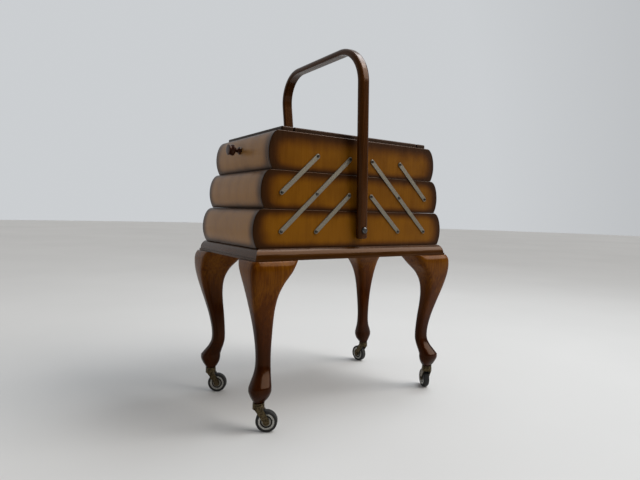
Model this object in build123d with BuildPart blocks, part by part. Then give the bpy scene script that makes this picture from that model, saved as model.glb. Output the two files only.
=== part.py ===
from build123d import *
import math
import os

# Cantilever sewing box on a cabriole stand with castors.
# +Z is up, +X runs along the long front, -Y is the front. The origin is on the floor, under the centre.

# ---- Driving dimensions, mm ----
# Boxes: three tiers, stepped in length, the upper two split at the middle into left and right trays
tier_bottom = 335.0  # underside of the bottom box
tier_pitch = 71.0
tier_height = 70.6
bottom_half_length = 237.5  # at the fullest part of the rounded ends
tier_step = 14.5  # each tier is this much shorter at each end than the one below
half_width = 122.0  # outside faces of the side panels
panel_thickness = 8.0
end_thickness = 28.0
end_top_inset = 20.5
end_bottom_inset = 8.0
end_bulge_height = 30.5  # fullest part of the end, above the tier's lower edge
split_gap = 0.75  # half the gap between the left and right trays
floor_thickness = 4.0
floor_lift = 1.0
edge_round = 1.2

# Lids
lid_thickness = 8.0
lid_half_width = 119.0
lid_gap = 0.4
strip_outer = 182.0
strip_inner = 158.0
lid_outer = 156.2
lid_round = 2.4
lid_corner = 6.0

# Lid hinges
hinge_offset = 80.0  # distance of each hinge from the middle of the lid
hinge_width = 34.0
hinge_leaf = 0.75
hinge_leaf_depth = 6.5
hinge_knuckle_radius = 2.2
hinge_pin_radius = 0.9
hinge_axis_x = 0.5 * (strip_inner + lid_outer)

# Levers and their pivots
pivot_pitch = 76.5
pivot_inner = 28.5
pivot_height = 30.0  # above each tier's lower edge
lever_width = 9.0
lever_thickness = 1.8
lever_standoff = 0.4
screw_radius = 1.6
screw_clearance = 0.05
screw_head_radius = 2.7
screw_head_height = 1.6
head_gap = 0.3

# Handle: a splayed bail that rests leaning a little to the left
handle_width = 24.0
handle_thickness = 12.5
handle_pivot_height = 368.0
handle_reach = 357.0  # from the pivot to the centre line of the bar
handle_half_span = 132.0  # centre lines of the legs, at the pivot
handle_splay = 0.054  # outward, per unit of height
handle_lean = 3.8  # degrees
handle_bend = 67.0  # radius of the centre line
handle_tail = 17.0
handle_outer_round = 8.0
handle_inner_round = 3.5
handle_foot_round = 3.0
bolt_radius = 3.0
bolt_head_radius = 6.5
bolt_head_height = 4.0
bolt_clearance = 0.05
spacer_radius = 8.0

# Knobs
knob_height = 519.0
knob_dowel_radius = 4.0
knob_dowel_length = 15.0
knob_collar_radius = 7.5
knob_neck_radius = 4.2
knob_head_radius = 11.0
knob_length = 26.0

# Base moulding
base_half_length = 238.5
base_half_width = 137.0
base_bottom = 313.0
rail_width = 40.0
rail_lip_height = 4.0
rail_lip_depth = 1.8
rail_reveal = 1.5

# Cabriole legs: height, outset beyond the base moulding, width along the front, depth, corner radius
leg_upper_sections = [
    (313.0, 6.0, 95.0, 73.0, 8.0),
    (304.0, 9.5, 92.0, 68.5, 8.0),
    (291.0, 10.5, 84.5, 61.0, 7.5),
    (273.0, 9.0, 68.5, 49.0, 7.0),
    (252.0, 5.0, 54.5, 39.5, 7.0),
    (228.0, -1.0, 44.5, 32.0, 6.5),
    (202.0, -8.0, 37.5, 26.0, 6.5),
    (171.0, -15.5, 31.5, 22.0, 6.5),
    (140.0, -20.3, 27.5, 20.0, 6.5),
    (118.0, -20.0, 28.0, 20.5, 7.0),
    (104.0, -15.0, 31.5, 23.0, 8.0),
    (93.0, -8.0, 36.5, 27.5, 9.0),
    (83.0, -1.8, 41.0, 31.5, 10.0),
]
leg_foot_sections = [
    (83.0, -1.8, 41.0, 31.5, 10.0),
    (75.0, -1.6, 41.0, 32.0, 10.0),
    (66.0, -4.8, 35.5, 27.5, 9.5),
    (59.0, -8.8, 27.0, 22.0, 8.5),
    (54.0, -12.0, 19.5, 17.5, 7.5),
]

# Castors: where they stand and which way they trail, degrees from +X
castor_x = 217.0
castor_y = 116.5
castor_top = 54.0
castor_trail = 15.0
castor_angles = {
    "front_left": -34.0,
    "rear_left": -34.0,
    "front_right": 62.0,
    "rear_right": 97.0,
}
socket_radius = 10.8
socket_thickness = 3.0
kingpin_radius = 3.0
kingpin_head_radius = 5.0
fork_head_radius = 11.0
fork_head_bottom = 42.3
fork_arm_gap = 7.4  # from the middle plane to the inside of each arm
fork_arm_thickness = 2.0
fork_eye_radius = 6.2
swivel_clearance = 0.05
axle_radius = 2.0
axle_head_radius = 3.4
axle_head_height = 1.2
wheel_radius = 20.0
wheel_half_width = 6.5
tyre_inner_radius = 15.0
tyre_round = 2.4

# ---- Worked-out values ----
middle_half_length = bottom_half_length - tier_step
top_half_length = middle_half_length - tier_step
middle_bottom = tier_bottom + tier_pitch
top_bottom = middle_bottom + tier_pitch
top_rim = top_bottom + tier_height
lid_bottom = top_rim + lid_gap
lid_top = lid_bottom + lid_thickness
hinge_axis_z = lid_top + hinge_knuckle_radius + 0.1
inner_width = half_width - panel_thickness
rail_ovolo = base_half_width - half_width - rail_reveal - rail_lip_depth
pivot_columns = [pivot_inner, pivot_inner + pivot_pitch, pivot_inner + 2 * pivot_pitch]
pivot_rows = [tier_bottom + pivot_height + tier * tier_pitch for tier in range(3)]
lever_face = half_width + lever_standoff
screw_head_face = lever_face + lever_thickness + head_gap

# Pivot points of the left half as (column, row); the right half mirrors them
long_lever_points = [(2, 0), (1, 1), (0, 2)]
lower_lever_points = [(1, 0), (0, 1)]
upper_lever_points = [(2, 1), (1, 2)]
bottom_screw_points = [(2, 0), (1, 0)]
middle_screw_points = [(1, 1), (0, 1), (2, 1)]
top_screw_points = [(0, 2), (1, 2)]

os.makedirs("parts", exist_ok=True)


def save(part, name):
    part.label = name
    export_step(part, f"parts/{name}.step")


def group(parts):
    """Separate solids that share one node."""
    return Compound([solid for part in parts for solid in part.solids()])


def mirrored(part, about=Plane.YZ):
    """Mirror image of a piece, with its solids kept separate."""
    twins = []
    for solid in part.solids():
        with BuildPart() as twin:
            mirror(solid, about=about)
        twins.append(twin.part)
    return group(twins)


def pivot(point):
    """A pivot of the left half, as x and z."""
    column, row = point
    return (-pivot_columns[column], pivot_rows[row])


# ---- Tier outlines ----
def end_curve(half_length, bottom):
    """The rounded left end of a tier, from its top edge down to its lower edge."""
    fullest = bottom + end_bulge_height
    EllipticalCenterArc(
        (end_top_inset - half_length, fullest),
        end_top_inset,
        tier_height - end_bulge_height,
        start_angle=90,
        arc_size=90,
    )
    TangentArc((-half_length, fullest), (end_bottom_inset - half_length, bottom), tangent=(0, -1))


def tray_outline(half_length, bottom, right_edge):
    """Closed outline of a tier from its rounded left end to a straight right edge."""
    end_curve(half_length, bottom)
    top_left = (end_top_inset - half_length, bottom + tier_height)
    bottom_left = (end_bottom_inset - half_length, bottom)
    Polyline(bottom_left, (right_edge, bottom), (right_edge, bottom + tier_height), top_left)


def front_panel(half_length, bottom, right_edge, holes):
    """Flat front panel with a rounded left end and drilled pivot holes."""
    with BuildPart() as panel:
        with BuildSketch(Plane.XZ.offset(half_width)):
            with BuildLine():
                tray_outline(half_length, bottom, right_edge)
            make_face()
        extrude(amount=-panel_thickness)
        outer_face = panel.faces().sort_by(Axis.Y)[0]
        fillet(outer_face.edges(), radius=edge_round)
        with BuildSketch(Plane.XZ.offset(half_width)):
            with Locations(*holes):
                Circle(screw_radius)
        extrude(amount=-panel_thickness, mode=Mode.SUBTRACT)
    return panel.part


def tray_side_panels(half_length, bottom, holes):
    front = front_panel(half_length, bottom, -split_gap, holes)
    return group([front, mirrored(front, Plane.XZ)])


def outer_end(half_length, bottom):
    """Shaped end board: domed outside, flat inside, between the side panels."""
    with BuildPart() as board:
        with BuildSketch(Plane.XZ.offset(inner_width)):
            with BuildLine():
                tray_outline(half_length, bottom, end_thickness - half_length)
            make_face()
        extrude(amount=-2 * inner_width)
    return board.part


def drilled_outer_end(half_length, bottom):
    """The end board of a top tray, with the hole for the knob's dowel."""
    mouth = Plane(origin=(-half_length, 0, knob_height), x_dir=(0, 1, 0), z_dir=(1, 0, 0))
    with BuildPart() as board:
        add(outer_end(half_length, bottom))
        with BuildSketch(mouth):
            Circle(knob_dowel_radius)
        extrude(amount=knob_dowel_length, mode=Mode.SUBTRACT)
    return board.part


def inner_end(bottom):
    """Flat board that closes a tray at the middle of the box."""
    with BuildPart() as board:
        with BuildSketch(Plane.XY.offset(bottom)):
            with Locations((-split_gap - panel_thickness / 2, 0)):
                Rectangle(panel_thickness, 2 * inner_width)
        extrude(amount=tier_height)
        fillet(board.edges().filter_by(Axis.Y).group_by(Axis.Z)[-1], radius=edge_round)
    return board.part


def floor_board(left, right, bottom):
    """Plywood floor between x = left and x = right, let in between the walls."""
    with BuildPart() as board:
        with BuildSketch(Plane.XY.offset(bottom + floor_lift)):
            with Locations(((left + right) / 2, 0)):
                Rectangle(right - left, 2 * inner_width)
        extrude(amount=floor_thickness)
    return board.part


def tray_floor(half_length, bottom):
    return floor_board(end_thickness - half_length, -split_gap - panel_thickness, bottom)


# ---- Bottom box ----
def bottom_box_front():
    """Full-length front panel, rounded at both ends, drilled for the levers and the handle."""
    with BuildPart() as panel:
        with BuildSketch(Plane.XZ.offset(half_width)):
            with BuildLine():
                end_curve(bottom_half_length, tier_bottom)
                Line((end_top_inset - bottom_half_length, tier_bottom + tier_height),
                     (0, tier_bottom + tier_height))
                Line((end_bottom_inset - bottom_half_length, tier_bottom), (0, tier_bottom))
                mirror(about=Plane.YZ)
            make_face()
        extrude(amount=-panel_thickness)
        outer_face = panel.faces().sort_by(Axis.Y)[0]
        fillet(outer_face.edges(), radius=edge_round)
        with BuildSketch(Plane.XZ.offset(half_width)):
            for side in (-1, 1):
                for point in bottom_screw_points:
                    x, z = pivot(point)
                    with Locations((side * x, z)):
                        Circle(screw_radius)
            with Locations((0, handle_pivot_height)):
                Circle(bolt_radius)
        extrude(amount=-panel_thickness, mode=Mode.SUBTRACT)
    return panel.part


# ---- Stand ----
def rail_outline(half_depth):
    """Section of a rail whose outer edge is at -half_depth: ovolo top, small lip at the foot."""
    lip = base_bottom + rail_lip_height
    ovolo_x = rail_lip_depth + rail_ovolo - half_depth
    Polyline(
        (ovolo_x, tier_bottom),
        (rail_width - half_depth, tier_bottom),
        (rail_width - half_depth, base_bottom),
        (-half_depth, base_bottom),
        (-half_depth, lip),
        (rail_lip_depth - half_depth, lip),
    )
    EllipticalCenterArc((ovolo_x, lip), rail_ovolo, tier_bottom - lip, start_angle=90, arc_size=90)


def mitred(section_plane, half_length, half_depth, corner, keep_direction):
    """A straight moulding cut at 45 degrees at both ends."""
    with BuildPart() as rail:
        with BuildSketch(section_plane):
            with BuildLine():
                rail_outline(half_depth)
            make_face()
        extrude(amount=half_length, both=True)
        for side in (-1, 1):
            x, y = corner(side)
            dx, dy = keep_direction(side)
            split(bisect_by=Plane(origin=(x, y, 0), z_dir=(dx, dy, 0)), keep=Keep.TOP)
    return rail.part


def front_rail():
    return mitred(
        Plane(origin=(0, 0, 0), x_dir=(0, 1, 0), z_dir=(1, 0, 0)),
        base_half_length,
        base_half_width,
        lambda side: (side * base_half_length, -base_half_width),
        lambda side: (-side, -1),
    )


def left_rail():
    """The end rail: the front rail's moulding with a narrow reveal, along the left side."""
    return mitred(
        Plane(origin=(0, 0, 0), x_dir=(1, 0, 0), z_dir=(0, -1, 0)),
        base_half_width,
        base_half_length,
        lambda side: (-base_half_length, side * base_half_width),
        lambda side: (-1, -side),
    )


def leg_centre(outset, width, depth):
    """Centre of one section of the front left leg."""
    return (width / 2 - base_half_length - outset, depth / 2 - base_half_width - outset)


def front_left_leg():
    """Cabriole leg: a full knee, an S-curve to a slim ankle, and a pointed foot."""
    with BuildPart() as leg:
        for height, outset, width, depth, corner in leg_upper_sections:
            with BuildSketch(Plane.XY.offset(height)):
                with Locations(leg_centre(outset, width, depth)):
                    RectangleRounded(width, depth, corner)
        loft()
        for height, outset, width, depth, corner in leg_foot_sections:
            with BuildSketch(Plane.XY.offset(height)):
                with Locations(leg_centre(outset, width, depth)):
                    RectangleRounded(width, depth, corner)
        loft()
    return leg.part


# ---- Levers and pivot screws ----
def lever_pair(points):
    """The front and rear bars of one lever of the left half."""
    ends = [pivot(points[0]), pivot(points[-1])]
    middle = ((ends[0][0] + ends[1][0]) / 2, (ends[0][1] + ends[1][1]) / 2)
    length = math.dist(*ends)
    slope = math.degrees(math.atan2(ends[1][1] - ends[0][1], ends[1][0] - ends[0][0]))
    with BuildPart() as lever:
        with BuildSketch(Plane.XZ.offset(lever_face)):
            with Locations(Location(middle, slope)):
                SlotCenterToCenter(length, lever_width)
        extrude(amount=lever_thickness)
        chamfer(lever.faces().sort_by(Axis.Y)[0].edges(), length=0.4)
        with BuildSketch(Plane.XZ.offset(lever_face)):
            with Locations(*[pivot(point) for point in points]):
                Circle(screw_radius + screw_clearance)
        extrude(amount=lever_thickness, mode=Mode.SUBTRACT)
    return group([lever.part, mirrored(lever.part, Plane.XZ)])


def pivot_screw(x, z):
    """Round-headed screw in the front panel, with a slotted head."""
    with BuildPart() as screw:
        with BuildSketch(Plane.XZ.offset(inner_width)):
            with Locations((x, z)):
                Circle(screw_radius)
        extrude(amount=screw_head_face - inner_width)
        with BuildSketch(Plane.XZ.offset(screw_head_face)):
            with Locations((x, z)):
                Circle(screw_head_radius)
        extrude(amount=screw_head_height)
        fillet(screw.faces().sort_by(Axis.Y)[0].edges(), radius=0.8)
        with BuildSketch(Plane.XZ.offset(screw_head_face + screw_head_height)):
            with Locations((x, z)):
                Rectangle(2 * screw_head_radius, 0.7, rotation=35)
        extrude(amount=-0.6, mode=Mode.SUBTRACT)
    return screw.part


def pivot_screws(points):
    front = [pivot_screw(*pivot(point)) for point in points]
    return group(front + [mirrored(screw, Plane.XZ) for screw in front])


# ---- Lids ----
def lid_blank(left, right, bottom):
    """A board with rounded upper edges, lying on the rim."""
    with BuildPart() as board:
        with BuildSketch(Plane.XY.offset(bottom)):
            with Locations(((left + right) / 2, 0)):
                Rectangle(right - left, 2 * lid_half_width)
        extrude(amount=lid_top - bottom)
        fillet(board.edges().filter_by(Axis.Z).group_by(Axis.X)[0], radius=lid_corner / 2)
        fillet(board.faces().sort_by(Axis.Z)[-1].edges(), radius=lid_round)
    return board.part


def strip_hinge(y):
    """The fixed leaf of a butt hinge with its two outer knuckles and its pin."""
    third = hinge_width / 3
    leaf_x = -strip_inner + hinge_leaf / 2
    with BuildPart() as leaf:
        with BuildSketch(Plane.XZ.offset(-y - hinge_width / 2)):
            with Locations((leaf_x, lid_top + hinge_knuckle_radius / 2 - hinge_leaf_depth / 2)):
                Rectangle(hinge_leaf, hinge_leaf_depth + hinge_knuckle_radius)
            with Locations((-hinge_axis_x, hinge_axis_z)):
                Circle(hinge_knuckle_radius)
                Circle(hinge_pin_radius, mode=Mode.SUBTRACT)
        extrude(amount=hinge_width)
        with BuildSketch(Plane.XZ.offset(-y - third / 2 - 0.2)):
            with Locations((-hinge_axis_x, hinge_axis_z)):
                Circle(hinge_knuckle_radius + 0.3)
        extrude(amount=third + 0.4, mode=Mode.SUBTRACT)
    with BuildPart() as pin:
        with BuildSketch(Plane.XZ.offset(-y - hinge_width / 2)):
            with Locations((-hinge_axis_x, hinge_axis_z)):
                Circle(hinge_pin_radius)
        extrude(amount=hinge_width)
    return group([leaf.part, pin.part])


def lid_hinge(y):
    """The leaf on the lid, with the middle knuckle."""
    third = hinge_width / 3
    leaf_x = -lid_outer - hinge_leaf / 2
    with BuildPart() as leaf:
        with BuildSketch(Plane.XZ.offset(-y - third / 2)):
            with Locations((leaf_x, lid_top + hinge_knuckle_radius / 2 - hinge_leaf_depth / 2)):
                Rectangle(hinge_leaf, hinge_leaf_depth + hinge_knuckle_radius)
            with Locations((-hinge_axis_x, hinge_axis_z)):
                Circle(hinge_knuckle_radius)
                Circle(hinge_pin_radius + screw_clearance, mode=Mode.SUBTRACT)
        extrude(amount=third)
    return leaf.part


# ---- Knob, handle and their fasteners ----
def knob():
    """Turned mushroom knob on the end of the left top tray, with its dowel."""
    face = top_half_length + 0.1
    with BuildPart() as turned:
        with BuildSketch(Plane.XZ):
            with BuildLine():
                Polyline(
                    (-face + 0.1 + knob_dowel_length, knob_height),
                    (-face + 0.1 + knob_dowel_length, knob_height + knob_dowel_radius),
                    (-face, knob_height + knob_dowel_radius),
                    (-face, knob_height + knob_collar_radius),
                    (-face - 2.5, knob_height + knob_collar_radius),
                )
                Spline(
                    (-face - 2.5, knob_height + knob_collar_radius),
                    (-face - 9.0, knob_height + knob_neck_radius),
                    (-face - 15.0, knob_height + knob_head_radius),
                    (-face - 21.5, knob_height + knob_head_radius * 0.86),
                    (-face - knob_length, knob_height),
                    tangents=[(-0.3, -1.0), (0.0, -1.0)],
                )
                Line((-face - knob_length, knob_height), (-face + 0.1 + knob_dowel_length, knob_height))
            make_face()
        revolve(axis=Axis((0, 0, knob_height), (1, 0, 0)))
    return turned.part


def handle():
    """Bentwood bail, rounder outside than inside, with one bolt hole at the foot of each leg."""
    lean = math.radians(handle_lean)
    square_to_bail = Vector(math.cos(lean), 0, math.sin(lean))
    bail_plane = Plane(origin=(0, 0, handle_pivot_height), x_dir=(0, 1, 0), z_dir=square_to_bail)
    foot = handle_half_span - handle_splay * handle_tail
    corner = handle_half_span + handle_splay * handle_reach
    with BuildPart() as bail:
        with BuildLine(bail_plane) as path:
            FilletPolyline(
                (-foot, -handle_tail), (-corner, handle_reach), (corner, handle_reach), (foot, -handle_tail),
                radius=handle_bend,
            )
        with BuildSketch(Plane(origin=path.line @ 0, x_dir=square_to_bail, z_dir=path.line % 0)):
            Rectangle(handle_width, handle_thickness)
            fillet(vertices().group_by(Axis.Y)[0], radius=handle_outer_round)
            fillet(vertices().group_by(Axis.Y)[-1], radius=handle_inner_round)
        sweep(path=path.line)
        for foot_face in bail.faces().sort_by(Axis.Z)[:2]:
            fillet(foot_face.edges(), radius=handle_foot_round)
        with BuildSketch(Plane.XZ):
            with Locations((0, handle_pivot_height)):
                Circle(bolt_radius + bolt_clearance)
        extrude(amount=2 * half_width, both=True, mode=Mode.SUBTRACT)
    return bail.part


def handle_bolt():
    """Domed bolt through the front leg of the handle, with its nut inside the box."""
    leg_half = handle_thickness / 2 + head_gap
    inner = handle_half_span - leg_half - handle_splay * spacer_radius
    outer = handle_half_span + leg_half + handle_splay * bolt_head_radius
    nut_thickness = 4.0
    with BuildPart() as bolt:
        with BuildSketch(Plane.XZ.offset(inner_width - nut_thickness)):
            with Locations((0, handle_pivot_height)):
                Circle(bolt_radius)
        extrude(amount=outer - inner_width + nut_thickness)
        with BuildSketch(Plane.XZ.offset(outer)):
            with Locations((0, handle_pivot_height)):
                Circle(bolt_head_radius)
        extrude(amount=bolt_head_height)
        fillet(bolt.faces().sort_by(Axis.Y)[0].edges(), radius=3.4)
    with BuildPart() as nut:
        with BuildSketch(Plane.XZ.offset(inner_width)):
            with Locations((0, handle_pivot_height)):
                RegularPolygon(5.8, 6)
                Circle(bolt_radius, mode=Mode.SUBTRACT)
        extrude(amount=-nut_thickness)
    with BuildPart() as spacer:
        with BuildSketch(Plane.XZ.offset(half_width)):
            with Locations((0, handle_pivot_height)):
                Circle(spacer_radius)
                Circle(bolt_radius, mode=Mode.SUBTRACT)
        extrude(amount=inner - half_width)
    return [bolt.part, nut.part, spacer.part]


def handle_fasteners():
    front = handle_bolt()
    return group(front + [mirrored(piece, Plane.XZ) for piece in front])


# ---- Castors ----
def corner_signs(corner):
    return (-1 if "left" in corner else 1, -1 if "front" in corner else 1)


def castor_planes(corner):
    """Upright and side planes at the foot of a leg; local x is the way the castor trails."""
    side_x, side_y = corner_signs(corner)
    angle = math.radians(castor_angles[corner])
    origin = Vector(side_x * castor_x, side_y * castor_y, 0)
    trail = Vector(math.cos(angle), math.sin(angle), 0)
    upright = Plane(origin=origin, x_dir=trail, z_dir=(0, 0, 1))
    side = Plane(origin=origin, x_dir=trail, z_dir=trail.cross(Vector(0, 0, 1)))
    return upright, side


def castor_socket(corner):
    """Plate under the foot with the riveted kingpin that the fork turns on."""
    upright, _ = castor_planes(corner)
    plate_bottom = castor_top - socket_thickness
    head_top = fork_head_bottom - head_gap
    with BuildPart() as socket:
        with BuildSketch(upright.offset(plate_bottom)):
            Circle(socket_radius)
        extrude(amount=socket_thickness)
        fillet(socket.edges().group_by(Axis.Z)[0], radius=0.8)
        with BuildSketch(upright.offset(head_top)):
            Circle(kingpin_radius)
        extrude(amount=plate_bottom - head_top)
        with BuildSketch(upright.offset(head_top - 1.4)):
            Circle(kingpin_head_radius)
        extrude(amount=1.4)
    return socket.part


def castor_fork(corner):
    """Swivel head with two arms down to the axle, and the riveted axle."""
    upright, side = castor_planes(corner)
    head_top = castor_top - socket_thickness - head_gap
    arm_middle = fork_arm_gap + fork_arm_thickness / 2
    with BuildPart() as fork:
        with BuildSketch(upright.offset(fork_head_bottom)):
            Circle(fork_head_radius)
        extrude(amount=head_top - fork_head_bottom)
        fillet(fork.edges().group_by(Axis.Z)[-1], radius=1.5)
        for hand in (-1, 1):
            with BuildSketch(side.offset(hand * arm_middle)):
                with BuildLine():
                    Polyline(
                        (-6.0, fork_head_bottom),
                        (-6.0, head_top - 2.0),
                        (6.0, head_top - 2.0),
                        (castor_trail + fork_eye_radius * 0.9, wheel_radius + 4.0),
                        (castor_trail - fork_eye_radius * 0.8, wheel_radius - 1.0),
                        close=True,
                    )
                make_face()
                with Locations((castor_trail, wheel_radius)):
                    Circle(fork_eye_radius)
            extrude(amount=fork_arm_thickness / 2, both=True)
        with BuildSketch(upright.offset(fork_head_bottom)):
            Circle(kingpin_radius + swivel_clearance)
        extrude(amount=head_top - fork_head_bottom, mode=Mode.SUBTRACT)
        with BuildSketch(side):
            with Locations((castor_trail, wheel_radius)):
                Circle(axle_radius)
        extrude(amount=2 * fork_arm_gap, both=True, mode=Mode.SUBTRACT)
    outer = fork_arm_gap + fork_arm_thickness
    with BuildPart() as axle:
        with BuildSketch(side):
            with Locations((castor_trail, wheel_radius)):
                Circle(axle_radius)
        extrude(amount=outer, both=True)
        for hand in (-1, 1):
            with BuildSketch(side.offset(hand * outer)):
                with Locations((castor_trail, wheel_radius)):
                    Circle(axle_head_radius)
            extrude(amount=hand * axle_head_height)
    return group([fork.part, axle.part])


def wheel_axis(corner):
    """Plane through the axle with local x along it, and the axle's axis."""
    _, side = castor_planes(corner)
    centre = side.from_local_coords(Vector(castor_trail, wheel_radius, 0))
    section = Plane(origin=centre, x_dir=side.z_dir, z_dir=side.x_dir)
    return section, Axis(centre, side.z_dir)


def castor_wheel(corner):
    """Disc wheel: boss, thin web with a groove, and a raised rim."""
    section, axis = wheel_axis(corner)
    with BuildPart() as wheel:
        with BuildSketch(section):
            with BuildLine():
                Polyline(
                    (0, axle_radius + swivel_clearance),
                    (6.9, axle_radius + swivel_clearance),
                    (6.9, 4.2),
                    (5.8, 5.2),
                    (5.4, 9.4),
                    (3.6, 9.8),
                    (3.6, 11.0),
                    (5.9, 11.5),
                    (5.9, tyre_inner_radius),
                    (0, tyre_inner_radius),
                )
                mirror(about=Plane.YZ)
            make_face()
        revolve(axis=axis)
    return wheel.part


def castor_tyre(corner):
    section, axis = wheel_axis(corner)
    with BuildPart() as tyre:
        with BuildSketch(section):
            with Locations((0, (wheel_radius + tyre_inner_radius) / 2)):
                Rectangle(2 * wheel_half_width, wheel_radius - tyre_inner_radius)
        revolve(axis=axis)
        rims = tyre.edges().filter_by(GeomType.CIRCLE).sort_by(lambda edge: edge.radius)[-2:]
        fillet(rims, radius=tyre_round)
    return tyre.part


# ---- Stand ----
front = front_rail()
left = left_rail()
save(group([front, mirrored(front, Plane.XZ), left, mirrored(left)]), "base_frame")

corner_leg = front_left_leg()
save(corner_leg, "front_left_leg")
save(mirrored(corner_leg), "front_right_leg")
rear_leg = mirrored(corner_leg, Plane.XZ)
save(rear_leg, "rear_left_leg")
save(mirrored(rear_leg), "rear_right_leg")

save(group([castor_socket(corner) for corner in castor_angles]), "castor_sockets")
for corner in castor_angles:
    save(castor_fork(corner), f"{corner}_castor_fork")
    save(castor_wheel(corner), f"{corner}_castor_wheel")
    save(castor_tyre(corner), f"{corner}_castor_tyre")

# ---- Bottom box ----
box_front = bottom_box_front()
save(group([box_front, mirrored(box_front, Plane.XZ)]), "bottom_box_side_panels")
box_end = outer_end(bottom_half_length, tier_bottom)
save(group([box_end, mirrored(box_end)]), "bottom_box_ends")
inside = bottom_half_length - end_thickness
save(floor_board(-inside, inside, tier_bottom), "bottom_box_floor")
left_screws = pivot_screws(bottom_screw_points)
save(group([left_screws, mirrored(left_screws)]), "bottom_pivot_screws")
save(handle(), "handle")
save(handle_fasteners(), "handle_fasteners")

# ---- Trays, lids and levers: the left half is modelled, the right half mirrors it ----
strip = lid_blank(-strip_outer, -strip_inner, top_rim)
hinge_places = (-hinge_offset, hinge_offset)
left_half = {
    "middle_tray_side_panels": tray_side_panels(
        middle_half_length, middle_bottom, [pivot(point) for point in middle_screw_points]
    ),
    "middle_tray_outer_end": outer_end(middle_half_length, middle_bottom),
    "middle_tray_inner_end": inner_end(middle_bottom),
    "middle_tray_floor": tray_floor(middle_half_length, middle_bottom),
    "middle_tray_pivot_screws": pivot_screws(middle_screw_points),
    "top_tray_side_panels": tray_side_panels(
        top_half_length, top_bottom, [pivot(point) for point in top_screw_points]
    ),
    "top_tray_outer_end": drilled_outer_end(top_half_length, top_bottom),
    "top_tray_inner_end": inner_end(top_bottom),
    "top_tray_floor": tray_floor(top_half_length, top_bottom),
    "top_tray_pivot_screws": pivot_screws(top_screw_points),
    "top_tray_lid_strip": strip,
    "top_tray_strip_hinges": group([strip_hinge(y) for y in hinge_places]),
    "top_tray_knob": knob(),
    "lid": lid_blank(-lid_outer, -split_gap, lid_bottom),
    "lid_hinges": group([lid_hinge(y) for y in hinge_places]),
    "long_levers": lever_pair(long_lever_points),
    "lower_levers": lever_pair(lower_lever_points),
    "upper_levers": lever_pair(upper_lever_points),
}
for name, piece in left_half.items():
    save(piece, f"left_{name}")
    save(mirrored(piece), f"right_{name}")
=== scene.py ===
"""Looks of the cantilever sewing box: burst veneer, cabriole legs, worn metal and soft studio light."""

import math

import bmesh
import bpy
from mathutils import Matrix, Vector


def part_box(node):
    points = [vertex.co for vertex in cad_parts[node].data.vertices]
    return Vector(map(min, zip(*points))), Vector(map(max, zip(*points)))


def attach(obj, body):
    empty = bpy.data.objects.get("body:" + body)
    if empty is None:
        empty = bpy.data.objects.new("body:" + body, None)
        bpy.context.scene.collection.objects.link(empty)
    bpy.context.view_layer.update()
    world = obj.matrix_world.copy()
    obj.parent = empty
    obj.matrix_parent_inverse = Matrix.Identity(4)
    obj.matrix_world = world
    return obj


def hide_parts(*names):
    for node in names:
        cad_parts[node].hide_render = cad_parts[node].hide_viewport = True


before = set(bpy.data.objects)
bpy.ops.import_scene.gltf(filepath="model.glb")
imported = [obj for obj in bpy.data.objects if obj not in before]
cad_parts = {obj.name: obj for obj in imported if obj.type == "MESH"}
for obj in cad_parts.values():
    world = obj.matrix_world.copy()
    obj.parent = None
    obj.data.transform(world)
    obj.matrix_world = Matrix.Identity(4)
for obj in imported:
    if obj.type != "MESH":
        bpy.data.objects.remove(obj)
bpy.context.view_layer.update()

CORNERS = ("front_left", "front_right", "rear_left", "rear_right")
SIDES = ("left", "right")
TIERS = ("bottom", "middle", "top")
WARM = (1.0, 0.42, 0.10, 1.0)  # tint of the stained varnish's own gloss
COLOUR_A, COLOUR_B, COLOUR_RESULT = 6, 7, 2  # the Mix node's sockets for colours
FINE_SPAN = (0.25, 0.75)  # what a detailed noise mostly stays between
BROAD_SPAN = (0.3, 0.7)  # the same of a plainer noise


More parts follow.
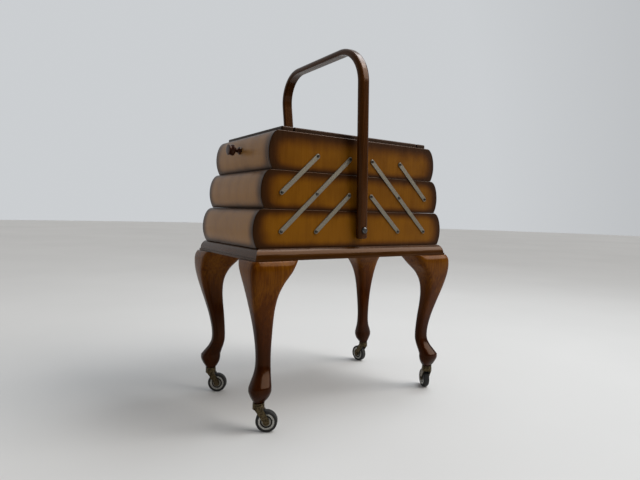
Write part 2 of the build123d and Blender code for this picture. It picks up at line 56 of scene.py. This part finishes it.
# ---- Procedural materials: helpers ----
class Paint:
    """One material: its shader, the place in the part's frame in metres, and helpers that chain nodes."""

    def __init__(self, name, **constants):
        self.material = bpy.data.materials.new(name)
        self.material.use_nodes = True
        self.tree = self.material.node_tree
        self.shader = self.tree.nodes["Principled BSDF"]
        for socket, value in constants.items():
            self.shader.inputs[socket.replace("_", " ")].default_value = value
        self.place = self.tree.nodes.new("ShaderNodeTexCoord").outputs["Object"]
        self.x, self.y, self.z = self.node("ShaderNodeSeparateXYZ", self.place).outputs

    def node(self, kind, *values, **settings):
        """A node with its settings made and its first inputs linked or set."""
        made = self.tree.nodes.new(kind)
        for key, value in settings.items():
            setattr(made, key, value)
        for socket, value in zip(made.inputs, values):
            self.feed(socket, value)
        return made

    def feed(self, socket, value):
        """Link a node's output to a socket, or set the socket to a number or a colour."""
        if isinstance(value, bpy.types.NodeSocket):
            self.tree.links.new(value, socket)
        elif value is not None:
            socket.default_value = value

    def set(self, **values):
        """Link or set the shader's own sockets, named with underscores for spaces."""
        for socket, value in values.items():
            self.feed(self.shader.inputs[socket.replace("_", " ")], value)

    def calc(self, operation, a, b=None, clamp=False):
        return self.node("ShaderNodeMath", a, b, operation=operation, use_clamp=clamp).outputs[0]

    def shift(self, value, low, high, start=0.0, end=1.0):
        """Map low..high to start..end, clamped, with soft shoulders."""
        made = self.node("ShaderNodeMapRange", interpolation_type="SMOOTHSTEP")
        for name, number in (("From Min", low), ("From Max", high), ("To Min", start), ("To Max", end)):
            made.inputs[name].default_value = number
        self.feed(made.inputs["Value"], value)
        return made.outputs["Result"]

    def stretch(self, x, y, z, offset=(0.0, 0.0, 0.0)):
        """The place scaled along each axis, as the pattern's fineness there, and then moved."""
        made = self.node("ShaderNodeMapping", self.place, vector_type="POINT")
        made.inputs["Location"].default_value = offset
        made.inputs["Scale"].default_value = (x, y, z)
        return made.outputs["Vector"]

    def noise(self, vector, detail, roughness=0.55):
        made = self.node("ShaderNodeTexNoise")
        made.inputs["Scale"].default_value = 1.0
        made.inputs["Detail"].default_value = detail
        made.inputs["Roughness"].default_value = roughness
        self.feed(made.inputs["Vector"], vector)
        return made.outputs["Fac"]

    def mix(self, amount, a, b):
        """Colour a where the amount is 0 and colour b where it is 1."""
        made = self.node("ShaderNodeMix", data_type="RGBA", blend_type="MIX")
        self.feed(made.inputs["Factor"], amount)
        self.feed(made.inputs[COLOUR_A], a)
        self.feed(made.inputs[COLOUR_B], b)
        return made.outputs[COLOUR_RESULT]

    def ramp(self, value, stops):
        """A colour ramp through (position, linear colour) stops."""
        made = self.node("ShaderNodeValToRGB", value)
        band = made.color_ramp
        while len(band.elements) < len(stops):
            band.elements.new(1.0)
        for element, (position, colour) in zip(band.elements, stops):
            element.position = position
            element.color = (*colour, 1.0)
        return made.outputs["Color"]

    def bump(self, height, depth):
        """Bump of the given depth in metres."""
        made = self.node("ShaderNodeBump")
        made.inputs["Strength"].default_value = 1.0
        made.inputs["Distance"].default_value = depth
        self.feed(made.inputs["Height"], height)
        return made.outputs["Normal"]


def dress(material, *nodes):
    """Give CAD nodes a material."""
    for node in nodes:
        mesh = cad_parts[node].data
        mesh.materials.clear()
        mesh.materials.append(material)


def side_nodes(name):
    return [f"{side}_{name}" for side in SIDES]


# ---- Veneer with a sunburst stain ----
BURST_STOPS = (
    (0.0, (0.010, 0.0035, 0.0015)),
    (0.18, (0.028, 0.0080, 0.0014)),
    (0.5, (0.092, 0.030, 0.0012)),
    (1.0, (0.178, 0.066, 0.0020)),
)
END_STOPS = (
    (0.0, (0.012, 0.007, 0.004)),
    (0.25, (0.050, 0.024, 0.010)),
    (0.6, (0.180, 0.085, 0.028)),
    (1.0, (0.280, 0.142, 0.048)),
)
# Each tier's front: how bright it is, part stain and part painted shade that dims the upper tiers against
# the bottom one, and how deep its dark upper band.
TIER_STAIN_AND_SHADE = {"bottom": (1.08, 0.021), "middle": (0.93, 0.024), "top": (0.92, 0.038)}
TIER_HEIGHT = 0.0706
FULLEST = 0.0305  # height of the fullest part of the rounded end above the tier's lower edge
TOP_INSET = 0.0205  # how far the end's outline lies in from its fullest part at the upper edge
BOTTOM_INSET = 0.008  # the same at the lower edge
HALF_DEPTH = 0.122  # of a tier, to the outer face of its front panel
PANEL_SKIN = (0.1145, 0.1165)  # distance from the middle where a panel's bare wood turns to veneer
END_SKIN = (0.0265, 0.0275)  # distance in from an end's fullest part where veneer turns to bare wood
UPRIGHT_GRAIN = 14.0  # fineness of the veneer's figure along its grain
FADE_START = -0.003  # just past the edge, so the edge itself isn't fully dark
VARNISH_RELIEF = 0.00006  # depth of the grain left in the surface


def tier_box(tier):
    """Lower edge, upper edge and half length of a tier."""
    node = "bottom_box_side_panels" if tier == "bottom" else f"left_{tier}_tray_side_panels"
    low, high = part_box(node)
    return low.z, high.z, -low.x


def end_distance(paint, bottom, half_length):
    """Distance in x to a tier's rounded end: an elliptic arc above its fullest part, a parabola below."""
    above = paint.calc("SUBTRACT", paint.z, bottom + FULLEST)
    up = paint.calc("MULTIPLY", above, 1.0 / (TIER_HEIGHT - FULLEST))
    up = paint.calc("MAXIMUM", up, 0.0)
    rest = paint.calc("SUBTRACT", 1.0, paint.calc("MULTIPLY", up, up), clamp=True)
    upper = paint.calc("MULTIPLY", paint.calc("SUBTRACT", 1.0, paint.calc("SQRT", rest)), TOP_INSET)
    down = paint.calc("MINIMUM", paint.calc("MULTIPLY", above, 1.0 / FULLEST), 0.0)
    lower = paint.calc("MULTIPLY", paint.calc("MULTIPLY", down, down), BOTTOM_INSET)
    inset = paint.calc("ADD", upper, lower)
    edge = paint.calc("SUBTRACT", half_length, inset)
    return paint.calc("SUBTRACT", edge, paint.calc("ABSOLUTE", paint.x))


def veneer_grain(paint, across, seed):
    """Fine figure and broad mottle of a veneer whose grain runs upright."""
    fine = paint.noise(paint.stretch(across, across, UPRIGHT_GRAIN, (seed, 0.0, seed)), 5.0, 0.6)
    mottle = paint.noise(paint.stretch(28.0, 28.0, 16.0, (0.0, seed, 0.0)), 3.0, 0.5)
    return fine, mottle


def burst_amount(paint, fades, mottle):
    """0 at the dark edge and 1 in the clear middle; fades are (distance to an edge, width)."""
    wander = paint.shift(mottle, *BROAD_SPAN, 0.92, 1.1)
    amount = None
    for distance, width in fades:
        part = paint.shift(paint.calc("MULTIPLY", distance, wander), FADE_START, width)
        amount = part if amount is None else paint.calc("MULTIPLY", amount, part)
    return amount


def varnish(paint, fine, roughness):
    """Semi-gloss varnish: slightly uneven gloss and a whisper of the grain in the surface."""
    paint.set(
        Roughness=paint.shift(fine, *FINE_SPAN, roughness - 0.05, roughness + 0.08),
        Normal=paint.bump(fine, VARNISH_RELIEF),
    )


def inner_colour(paint, fine):
    """Bare stained wood on the inside faces."""
    return paint.ramp(fine, ((0.3, (0.085, 0.038, 0.016)), (0.7, (0.165, 0.082, 0.036))))


def front_veneer(tier, seed, strength, top_fade):
    """Front veneer of a tier; strength brightens it and top_fade is the depth of the dark upper band."""
    bottom, top, half_length = tier_box(tier)
    paint = Paint(f"{tier}_front_veneer", Coat_Weight=0.06, Coat_Roughness=0.12,
                  Specular_IOR_Level=0.25, Specular_Tint=WARM)
    fine, mottle = veneer_grain(paint, 420.0, seed)
    lower = paint.calc("SUBTRACT", paint.z, bottom)
    upper = paint.calc("SUBTRACT", top, paint.z)
    end = end_distance(paint, bottom, half_length)
    amount = burst_amount(paint, [(lower, 0.015), (upper, top_fade), (end, 0.044)], mottle)
    figure = paint.calc("MULTIPLY", amount, paint.shift(fine, *FINE_SPAN, 0.88, 1.06))
    # Brightness per tier: the stain's own tone with painted shade on the upper tiers.
    light = paint.shift(mottle, *BROAD_SPAN, 0.82 * strength, 1.04 * strength)
    figure = paint.calc("MULTIPLY", figure, light, clamp=True)
    outside = paint.shift(paint.calc("ABSOLUTE", paint.y), *PANEL_SKIN)
    colour = paint.mix(outside, inner_colour(paint, fine), paint.ramp(figure, BURST_STOPS))
    paint.set(Base_Color=colour)
    varnish(paint, fine, 0.34)
    return paint.material


def end_veneer(tier, seed):
    """Paler veneer on the rounded ends of a tier."""
    bottom, top, half_length = tier_box(tier)
    paint = Paint(f"{tier}_end_veneer", Coat_Weight=0.08, Coat_Roughness=0.2,
                  Specular_IOR_Level=0.3, Specular_Tint=WARM)
    fine, mottle = veneer_grain(paint, 380.0, seed)
    lower = paint.calc("SUBTRACT", paint.z, bottom)
    upper = paint.calc("SUBTRACT", top, paint.z)
    side = paint.calc("SUBTRACT", HALF_DEPTH, paint.calc("ABSOLUTE", paint.y))
    amount = burst_amount(paint, [(lower, 0.016), (upper, 0.012), (side, 0.032)], mottle)
    figure = paint.calc("MULTIPLY", amount, paint.shift(fine, *FINE_SPAN, 0.84, 1.08))
    figure = paint.calc("MULTIPLY", figure, paint.shift(mottle, *BROAD_SPAN, 0.85, 1.05), clamp=True)
    thickness = paint.calc("SUBTRACT", half_length, paint.calc("ABSOLUTE", paint.x))
    outside = paint.shift(thickness, *END_SKIN, 1.0, 0.0)
    colour = paint.mix(outside, inner_colour(paint, fine), paint.ramp(figure, END_STOPS))
    paint.set(Base_Color=colour)
    varnish(paint, fine, 0.38)
    return paint.material


for number, tier in enumerate(TIERS):
    panels = ["bottom_box_side_panels"] if tier == "bottom" else side_nodes(f"{tier}_tray_side_panels")
    ends = ["bottom_box_ends"] if tier == "bottom" else side_nodes(f"{tier}_tray_outer_end")
    strength, top_fade = TIER_STAIN_AND_SHADE[tier]
    front_seed = 3.7 * number
    end_seed = 5.3 * number + 11.0
    dress(front_veneer(tier, front_seed, strength, top_fade), *panels)
    dress(end_veneer(tier, end_seed), *ends)


# ---- Plain, dark and turned woods ----
BROAD_STREAKS = 0.12  # fineness of the broad streaks as a share of the fine ones'


def streaked_wood(name, stretch, stops, roughness, coat, seed=0.0):
    """Varnished wood with streaks; stretch is their fineness along x, y and z."""
    paint = Paint(name, Coat_Weight=coat, Coat_Roughness=0.08, Specular_IOR_Level=0.18,
                  Specular_Tint=WARM)
    wide = [BROAD_STREAKS * size for size in stretch]
    broad = paint.noise(paint.stretch(*wide, (seed, seed, 0.0)), 3.0, 0.5)
    fine = paint.noise(paint.stretch(*stretch, (0.0, seed, seed)), 6.0, 0.62)
    blend = paint.calc("ADD", paint.calc("MULTIPLY", broad, 0.6), paint.calc("MULTIPLY", fine, 0.4))
    paint.set(Base_Color=paint.ramp(blend, stops))
    varnish(paint, fine, roughness)
    return paint.material


DARK_STOPS = ((0.3, (0.006, 0.004, 0.0035)), (0.7, (0.020, 0.011, 0.008)))
KNOB_STOPS = ((0.3, (0.012, 0.004, 0.003)), (0.7, (0.040, 0.013, 0.008)))
INNER_STOPS = ((0.3, (0.110, 0.052, 0.022)), (0.7, (0.205, 0.108, 0.050)))
MOULDING_STOPS = (
    (0.3, (0.011, 0.0030, 0.0003)),
    (0.5, (0.032, 0.0095, 0.0004)),
    (0.7, (0.066, 0.021, 0.0008)),
)
HANDLE_STOPS = (
    (0.3, (0.018, 0.0050, 0.0006)),
    (0.55, (0.050, 0.014, 0.0007)),
    (0.75, (0.085, 0.028, 0.001)),
)

dress(streaked_wood("lid_wood", (300.0, 14.0, 300.0), DARK_STOPS, roughness=0.4, coat=0.05),
      *side_nodes("lid"), *side_nodes("top_tray_lid_strip"))
dress(streaked_wood("knob_wood", (260.0, 40.0, 260.0), KNOB_STOPS, roughness=0.3, coat=0.12, seed=2.0),
      *side_nodes("top_tray_knob"))
dress(streaked_wood("tray_floor_wood", (14.0, 260.0, 260.0), INNER_STOPS, roughness=0.5, coat=0.1, seed=4.0),
      "bottom_box_floor", *side_nodes("middle_tray_floor"), *side_nodes("top_tray_floor"))
dress(streaked_wood("tray_wall_wood", (260.0, 260.0, 14.0), INNER_STOPS, roughness=0.5, coat=0.1, seed=6.0),
      *side_nodes("middle_tray_inner_end"), *side_nodes("top_tray_inner_end"))
moulding_wood = streaked_wood("moulding_wood", (12.0, 12.0, 240.0), MOULDING_STOPS,
                              roughness=0.22, coat=0.14, seed=8.0)
handle_wood = streaked_wood("handle_wood", (420.0, 9.0, 9.0), HANDLE_STOPS,
                            roughness=0.24, coat=0.18, seed=9.0)
dress(moulding_wood, "base_frame")
dress(handle_wood, "handle")


# ---- Cabriole legs ----
# Each row: height, how far the leg stands out past the frame, width in x, depth in y, squareness.
LEG_UPPER = (
    (0.3130, 0.0060, 0.0950, 0.0730, 8.0),
    (0.3040, 0.0095, 0.0920, 0.0685, 8.0),
    (0.2910, 0.0104, 0.0845, 0.0610, 7.5),
    (0.2730, 0.0090, 0.0685, 0.0490, 6.5),
    (0.2520, 0.0050, 0.0545, 0.0395, 5.5),
    (0.2280, -0.0010, 0.0445, 0.0320, 4.8),
    (0.2020, -0.0080, 0.0375, 0.0260, 4.2),
    (0.1710, -0.0155, 0.0315, 0.0220, 3.8),
    (0.1400, -0.0203, 0.0275, 0.0200, 3.6),
    (0.1180, -0.0200, 0.0280, 0.0205, 3.4),
    (0.1040, -0.0150, 0.0315, 0.0230, 3.2),
    (0.0930, -0.0080, 0.0365, 0.0275, 3.0),
    (0.0830, -0.0018, 0.0410, 0.0315, 3.0),
)
LEG_FOOT = (
    (0.0830, -0.0018, 0.0410, 0.0315, 3.0),
    (0.0750, -0.0016, 0.0410, 0.0320, 2.8),
    (0.0660, -0.0048, 0.0355, 0.0275, 2.6),
    (0.0590, -0.0088, 0.0270, 0.0220, 2.5),
    (0.0540, -0.0120, 0.0195, 0.0175, 2.4),
)
RING = 48  # points round one ring
UPPER_RINGS = 90
FOOT_RINGS = 14
ROUNDEST = 2.4  # squareness where a leg is at its softest
INNER_SHARE = 0.6  # how much of a row's squareness beyond that the inner corner keeps


def along(table, height):
    """Smooth values between the rows of a table ordered by falling height."""
    index = max(i for i in range(len(table) - 1) if table[i][0] >= height or i == 0)
    first, second = table[index], table[index + 1]
    before = table[max(index - 1, 0)]
    after = table[min(index + 2, len(table) - 1)]
    span = second[0] - first[0]
    t = (height - first[0]) / span
    values = []
    for column in range(1, len(first)):
        start_slope = (second[column] - before[column]) / (second[0] - before[0])
        end_slope = (after[column] - first[column]) / (after[0] - first[0])
        a, b = first[column], second[column]
        hermite = (
            (2 * t**3 - 3 * t**2 + 1) * a
            + (t**3 - 2 * t**2 + t) * span * start_slope
            + (3 * t**2 - 2 * t**3) * b
            + (t**3 - t**2) * span * end_slope
        )
        values.append(hermite)
    return values


def leg_ring(mesh, height, outset, width, depth, squareness, signs):
    """One closed ring of a leg: a superellipse whose outer corner is the sharpest."""
    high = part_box("base_frame")[1]
    half_x = width / 2
    half_y = depth / 2
    centre_x = high.x + outset - half_x
    centre_y = high.y + outset - half_y
    ring = []
    for step in range(RING):
        angle = 2 * math.pi * step / RING
        facing = 0.5 + 0.5 * math.cos(angle - math.pi / 4)
        sharpness = INNER_SHARE + (1 - INNER_SHARE) * facing
        exponent = 2 / (ROUNDEST + (squareness - ROUNDEST) * sharpness)
        x = centre_x + half_x * math.copysign(abs(math.cos(angle)) ** exponent, math.cos(angle))
        y = centre_y + half_y * math.copysign(abs(math.sin(angle)) ** exponent, math.sin(angle))
        ring.append(mesh.verts.new((signs[0] * x, signs[1] * y, height)))
    return ring


def leg_heights(table, count):
    """Even steps down a table's whole height."""
    top, bottom = table[0][0], table[-1][0]
    return [top + (bottom - top) * i / count for i in range(count + 1)]


def leg(corner):
    """A leg from its knee down to the pointed foot; the foot's rings start below the last upper one."""
    signs = (-1 if "left" in corner else 1, -1 if "front" in corner else 1)
    upper_heights = leg_heights(LEG_UPPER, UPPER_RINGS)
    foot_heights = leg_heights(LEG_FOOT, FOOT_RINGS)[1:]
    mesh = bmesh.new()
    rings = [leg_ring(mesh, z, *along(LEG_UPPER, z), signs) for z in upper_heights]
    rings += [leg_ring(mesh, z, *along(LEG_FOOT, z), signs) for z in foot_heights]
    for upper, lower in zip(rings, rings[1:]):
        for i in range(RING):
            mesh.faces.new((upper[i], upper[(i + 1) % RING], lower[(i + 1) % RING], lower[i]))
    mesh.faces.new(rings[0])
    mesh.faces.new(rings[-1])
    bmesh.ops.recalc_face_normals(mesh, faces=mesh.faces)
    add_piece(f"{corner}_cabriole_leg", mesh, leg_material, "root", f"{corner}_leg")


def add_piece(name, mesh, material, body, node):
    """Turn a bmesh into a piece that stands for a CAD node; its sides are shaded smooth, its caps flat."""
    for face in mesh.faces:
        face.smooth = len(face.verts) == 4
    data = bpy.data.meshes.new(name)
    mesh.to_mesh(data)
    mesh.free()
    data.materials.append(material)
    piece = bpy.data.objects.new(name, data)
    bpy.context.scene.collection.objects.link(piece)
    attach(piece, body)
    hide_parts(node)


def leg_wood():
    """Deep red-brown varnish in streaks, with painted light making the knee amber and painted shade
    darkening it towards the foot.
    """
    paint = Paint("leg_wood", Coat_Weight=0.1, Coat_Roughness=0.1, Specular_IOR_Level=0.12,
                  Specular_Tint=WARM)
    fine = paint.noise(paint.stretch(330.0, 330.0, 11.0), 6.0, 0.62)
    cloud = paint.noise(paint.stretch(34.0, 34.0, 14.0, (3.0, 1.0, 7.0)), 3.0, 0.5)
    # Painted light and shade: lighter up at the knee, darker down towards the foot.
    knee = paint.shift(paint.z, 0.12, 0.30)
    light = paint.calc("ADD", paint.calc("MULTIPLY", knee, 0.45), paint.calc("MULTIPLY", cloud, 0.55))
    light = paint.calc("MULTIPLY", light, paint.shift(fine, *FINE_SPAN, 0.8, 1.12), clamp=True)
    colour = paint.ramp(light, (
        (0.15, (0.011, 0.0019, 0.0002)),
        (0.38, (0.032, 0.0062, 0.0002)),
        (0.58, (0.068, 0.0165, 0.0003)),
        (0.80, (0.140, 0.046, 0.0015)),
    ))
    paint.set(Base_Color=colour)
    varnish(paint, fine, 0.2)
    return paint.material


leg_material = leg_wood()
for corner in CORNERS:
    leg(corner)


# ---- Metals and rubber ----
METAL_RELIEF = 0.00005  # depth of the pits
RUBBER_RELIEF = 0.0001  # depth of the wear


def worn_metal(name, clean, tarnish, roughness, scale=260.0):
    """Plated metal with dull, faintly pitted spots."""
    paint = Paint(name, Metallic=1.0)
    spots = paint.noise(paint.stretch(scale, scale, scale), 5.0, 0.6)
    wear = paint.shift(spots, 0.42, 0.66)
    paint.set(
        Base_Color=paint.mix(wear, (*clean, 1.0), (*tarnish, 1.0)),
        Roughness=paint.shift(spots, *BROAD_SPAN, roughness - 0.08, roughness + 0.14),
        Normal=paint.bump(spots, METAL_RELIEF),
    )
    return paint.material


GRIME = (0.09, 0.075, 0.055, 1.0)
# Colours from the middle of a wheel out, at shares of WHEEL_REACH; the near-black pair at 0.66 and 0.74 is
# painted shade in the groove.
WHEEL_RINGS = (
    (0.20, (0.09, 0.08, 0.065)),
    (0.34, (0.34, 0.33, 0.30)),
    (0.60, (0.26, 0.25, 0.22)),
    (0.66, (0.025, 0.022, 0.018)),
    (0.74, (0.030, 0.026, 0.021)),
    (0.80, (0.46, 0.45, 0.42)),
    (1.00, (0.38, 0.37, 0.34)),
)
WHEEL_REACH = 0.0161  # from the middle of the wheel to the rim's outer edge


def wheel_metal(corner):
    """Pressed disc: dark hub, dull web, painted shade in the groove, a bright rim and spotted grime."""
    low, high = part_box(f"{corner}_castor_wheel")
    paint = Paint(f"{corner}_wheel_zinc", Metallic=1.0)
    spots = paint.noise(paint.stretch(400.0, 400.0, 400.0), 5.0, 0.6)
    middle = tuple((low + high) / 2)
    away = paint.node("ShaderNodeVectorMath", paint.place, middle, operation="DISTANCE")
    # Rings by distance from the middle, with painted shade in the groove.
    rings = paint.ramp(paint.calc("DIVIDE", away.outputs["Value"], WHEEL_REACH), WHEEL_RINGS)
    wear = paint.shift(spots, 0.45, 0.7, 0.0, 0.7)
    paint.set(
        Base_Color=paint.mix(wear, rings, GRIME),
        Roughness=paint.shift(spots, *BROAD_SPAN, 0.3, 0.5),
        Normal=paint.bump(spots, METAL_RELIEF),
    )
    return paint.material


def rubber():
    """Black rubber with dust."""
    paint = Paint("tyre_rubber", Specular_IOR_Level=0.4)
    dust = paint.noise(paint.stretch(240.0, 240.0, 240.0), 5.0, 0.65)
    paint.set(
        Base_Color=paint.ramp(dust, ((0.4, (0.005, 0.005, 0.005)), (0.75, (0.028, 0.026, 0.023)))),
        Roughness=paint.shift(dust, *BROAD_SPAN, 0.5, 0.8),
        Normal=paint.bump(dust, RUBBER_RELIEF),
    )
    return paint.material


lever_nodes = [f"{side}_{name}_levers" for side in SIDES for name in ("long", "lower", "upper")]
screw_nodes = [
    "bottom_pivot_screws",
    *side_nodes("middle_tray_pivot_screws"),
    *side_nodes("top_tray_pivot_screws"),
]
dress(worn_metal("lever_nickel", (0.29, 0.27, 0.22), (0.15, 0.13, 0.10), roughness=0.38, scale=900.0),
      *lever_nodes)
dress(worn_metal("screw_steel", (0.10, 0.09, 0.08), (0.03, 0.025, 0.02), roughness=0.35), *screw_nodes)
dress(worn_metal("bolt_steel", (0.12, 0.12, 0.12), (0.04, 0.038, 0.035), roughness=0.25),
      "handle_fasteners")
dress(worn_metal("hinge_brass", (0.30, 0.22, 0.10), (0.10, 0.07, 0.04), roughness=0.4),
      *side_nodes("lid_hinges"), *side_nodes("top_tray_strip_hinges"))
dress(worn_metal("castor_zinc", (0.10, 0.075, 0.04), (0.03, 0.021, 0.012), roughness=0.38),
      "castor_sockets", *[f"{corner}_castor_fork" for corner in CORNERS])
for corner in CORNERS:
    dress(wheel_metal(corner), f"{corner}_castor_wheel")
dress(rubber(), *[f"{corner}_castor_tyre" for corner in CORNERS])


# ---- Floor, light and camera ----
FLOOR_RADIUS = 14.0
FLOOR_STOPS = ((0.3, (0.60, 0.595, 0.585)), (0.7, (0.64, 0.635, 0.625)))


def floor():
    """A wide, plain, pale disc."""
    paint = Paint("pale_floor", Roughness=0.75)
    cloud = paint.noise(paint.stretch(0.9, 0.9, 0.9), 3.0)
    paint.set(Base_Color=paint.ramp(cloud, FLOOR_STOPS))
    mesh = bmesh.new()
    bmesh.ops.create_circle(mesh, cap_ends=True, segments=96, radius=FLOOR_RADIUS)
    data = bpy.data.meshes.new("studio_floor")
    mesh.to_mesh(data)
    mesh.free()
    data.materials.append(paint.material)
    ground = bpy.data.objects.new("studio_floor", data)
    bpy.context.scene.collection.objects.link(ground)


def hang(name, lamp, place, aim):
    """Put a lamp at a place, turned to its aim."""
    holder = bpy.data.objects.new(name, lamp)
    holder.location = place
    holder.rotation_euler = (Vector(aim) - Vector(place)).to_track_quat("-Z", "Y").to_euler()
    bpy.context.scene.collection.objects.link(holder)


def softbox(name, place, aim, size, power, colour):
    """A soft rectangular lamp."""
    lamp = bpy.data.lights.new(name, "AREA")
    lamp.shape = "RECTANGLE"
    lamp.size, lamp.size_y = size
    lamp.energy = power
    lamp.color = colour
    hang(name, lamp, place, aim)


def wide_sun(name, place, strength, spread, colour):
    """Even soft light from one side; spread is its angular size in degrees."""
    lamp = bpy.data.lights.new(name, "SUN")
    lamp.energy = strength
    lamp.angle = math.radians(spread)
    lamp.color = colour
    hang(name, lamp, place, aim=(0.0, 0.0, 0.0))


GRADIENT_REACH = 0.6  # of the view direction's Y, each way
FRONT_GREY = (0.15, 0.15, 0.15, 1.0)
BACK_GREY = (0.60, 0.62, 0.64, 1.0)


def studio():
    """Pale surroundings, brighter behind the object than in front of it, with a key and a top light."""
    world = bpy.data.worlds.new("studio")
    world.use_nodes = True
    tree = world.node_tree
    background = tree.nodes["Background"]
    direction = tree.nodes.new("ShaderNodeTexCoord").outputs["Generated"]
    split = tree.nodes.new("ShaderNodeSeparateXYZ")
    tree.links.new(direction, split.inputs[0])
    ramp = tree.nodes.new("ShaderNodeValToRGB")
    shift = tree.nodes.new("ShaderNodeMapRange")
    shift.inputs["From Min"].default_value = -GRADIENT_REACH
    shift.inputs["From Max"].default_value = GRADIENT_REACH
    tree.links.new(split.outputs["Y"], shift.inputs["Value"])
    tree.links.new(shift.outputs["Result"], ramp.inputs[0])
    ramp.color_ramp.elements[0].color = FRONT_GREY
    ramp.color_ramp.elements[1].color = BACK_GREY
    tree.links.new(ramp.outputs["Color"], background.inputs["Color"])
    bpy.context.scene.world = world
    wide_sun("key_light", place=(1.7, -1.5, 1.6), strength=1.9, spread=40.0, colour=(1.0, 0.96, 0.91))
    softbox("top_light", place=(0.9, -0.3, 2.2), aim=(0.0, 0.0, 0.4), size=(1.4, 0.9), power=30.0,
            colour=(0.92, 0.96, 1.0))


SENSOR_WIDTH = 36.0  # millimetres
LENS = 27.309375  # focal length in millimetres
YAW, PITCH, ROLL = 0.5955, -0.05705, 0.02545  # radians
EYE = (-0.6162, -0.8915, 0.4018)


def camera():
    """Camera at the viewing angle: yaw from +Y towards +X, then pitch, then roll."""
    reach = math.cos(PITCH)
    forward = Vector((math.sin(YAW) * reach, math.cos(YAW) * reach, math.sin(PITCH)))
    level = Vector((math.cos(YAW), -math.sin(YAW), 0.0))
    upright = level.cross(forward)
    right = level * math.cos(ROLL) + upright * math.sin(ROLL)
    up = right.cross(forward)
    lens = bpy.data.cameras.new("photo_camera")
    lens.sensor_width = SENSOR_WIDTH
    lens.lens = LENS
    eye = bpy.data.objects.new("photo_camera", lens)
    eye.matrix_world = Matrix.Translation(EYE) @ Matrix((right, up, -forward)).transposed().to_4x4()
    bpy.context.scene.collection.objects.link(eye)
    bpy.context.scene.camera = eye


floor()
studio()
camera()
bpy.context.scene.view_settings.view_transform = "Standard"
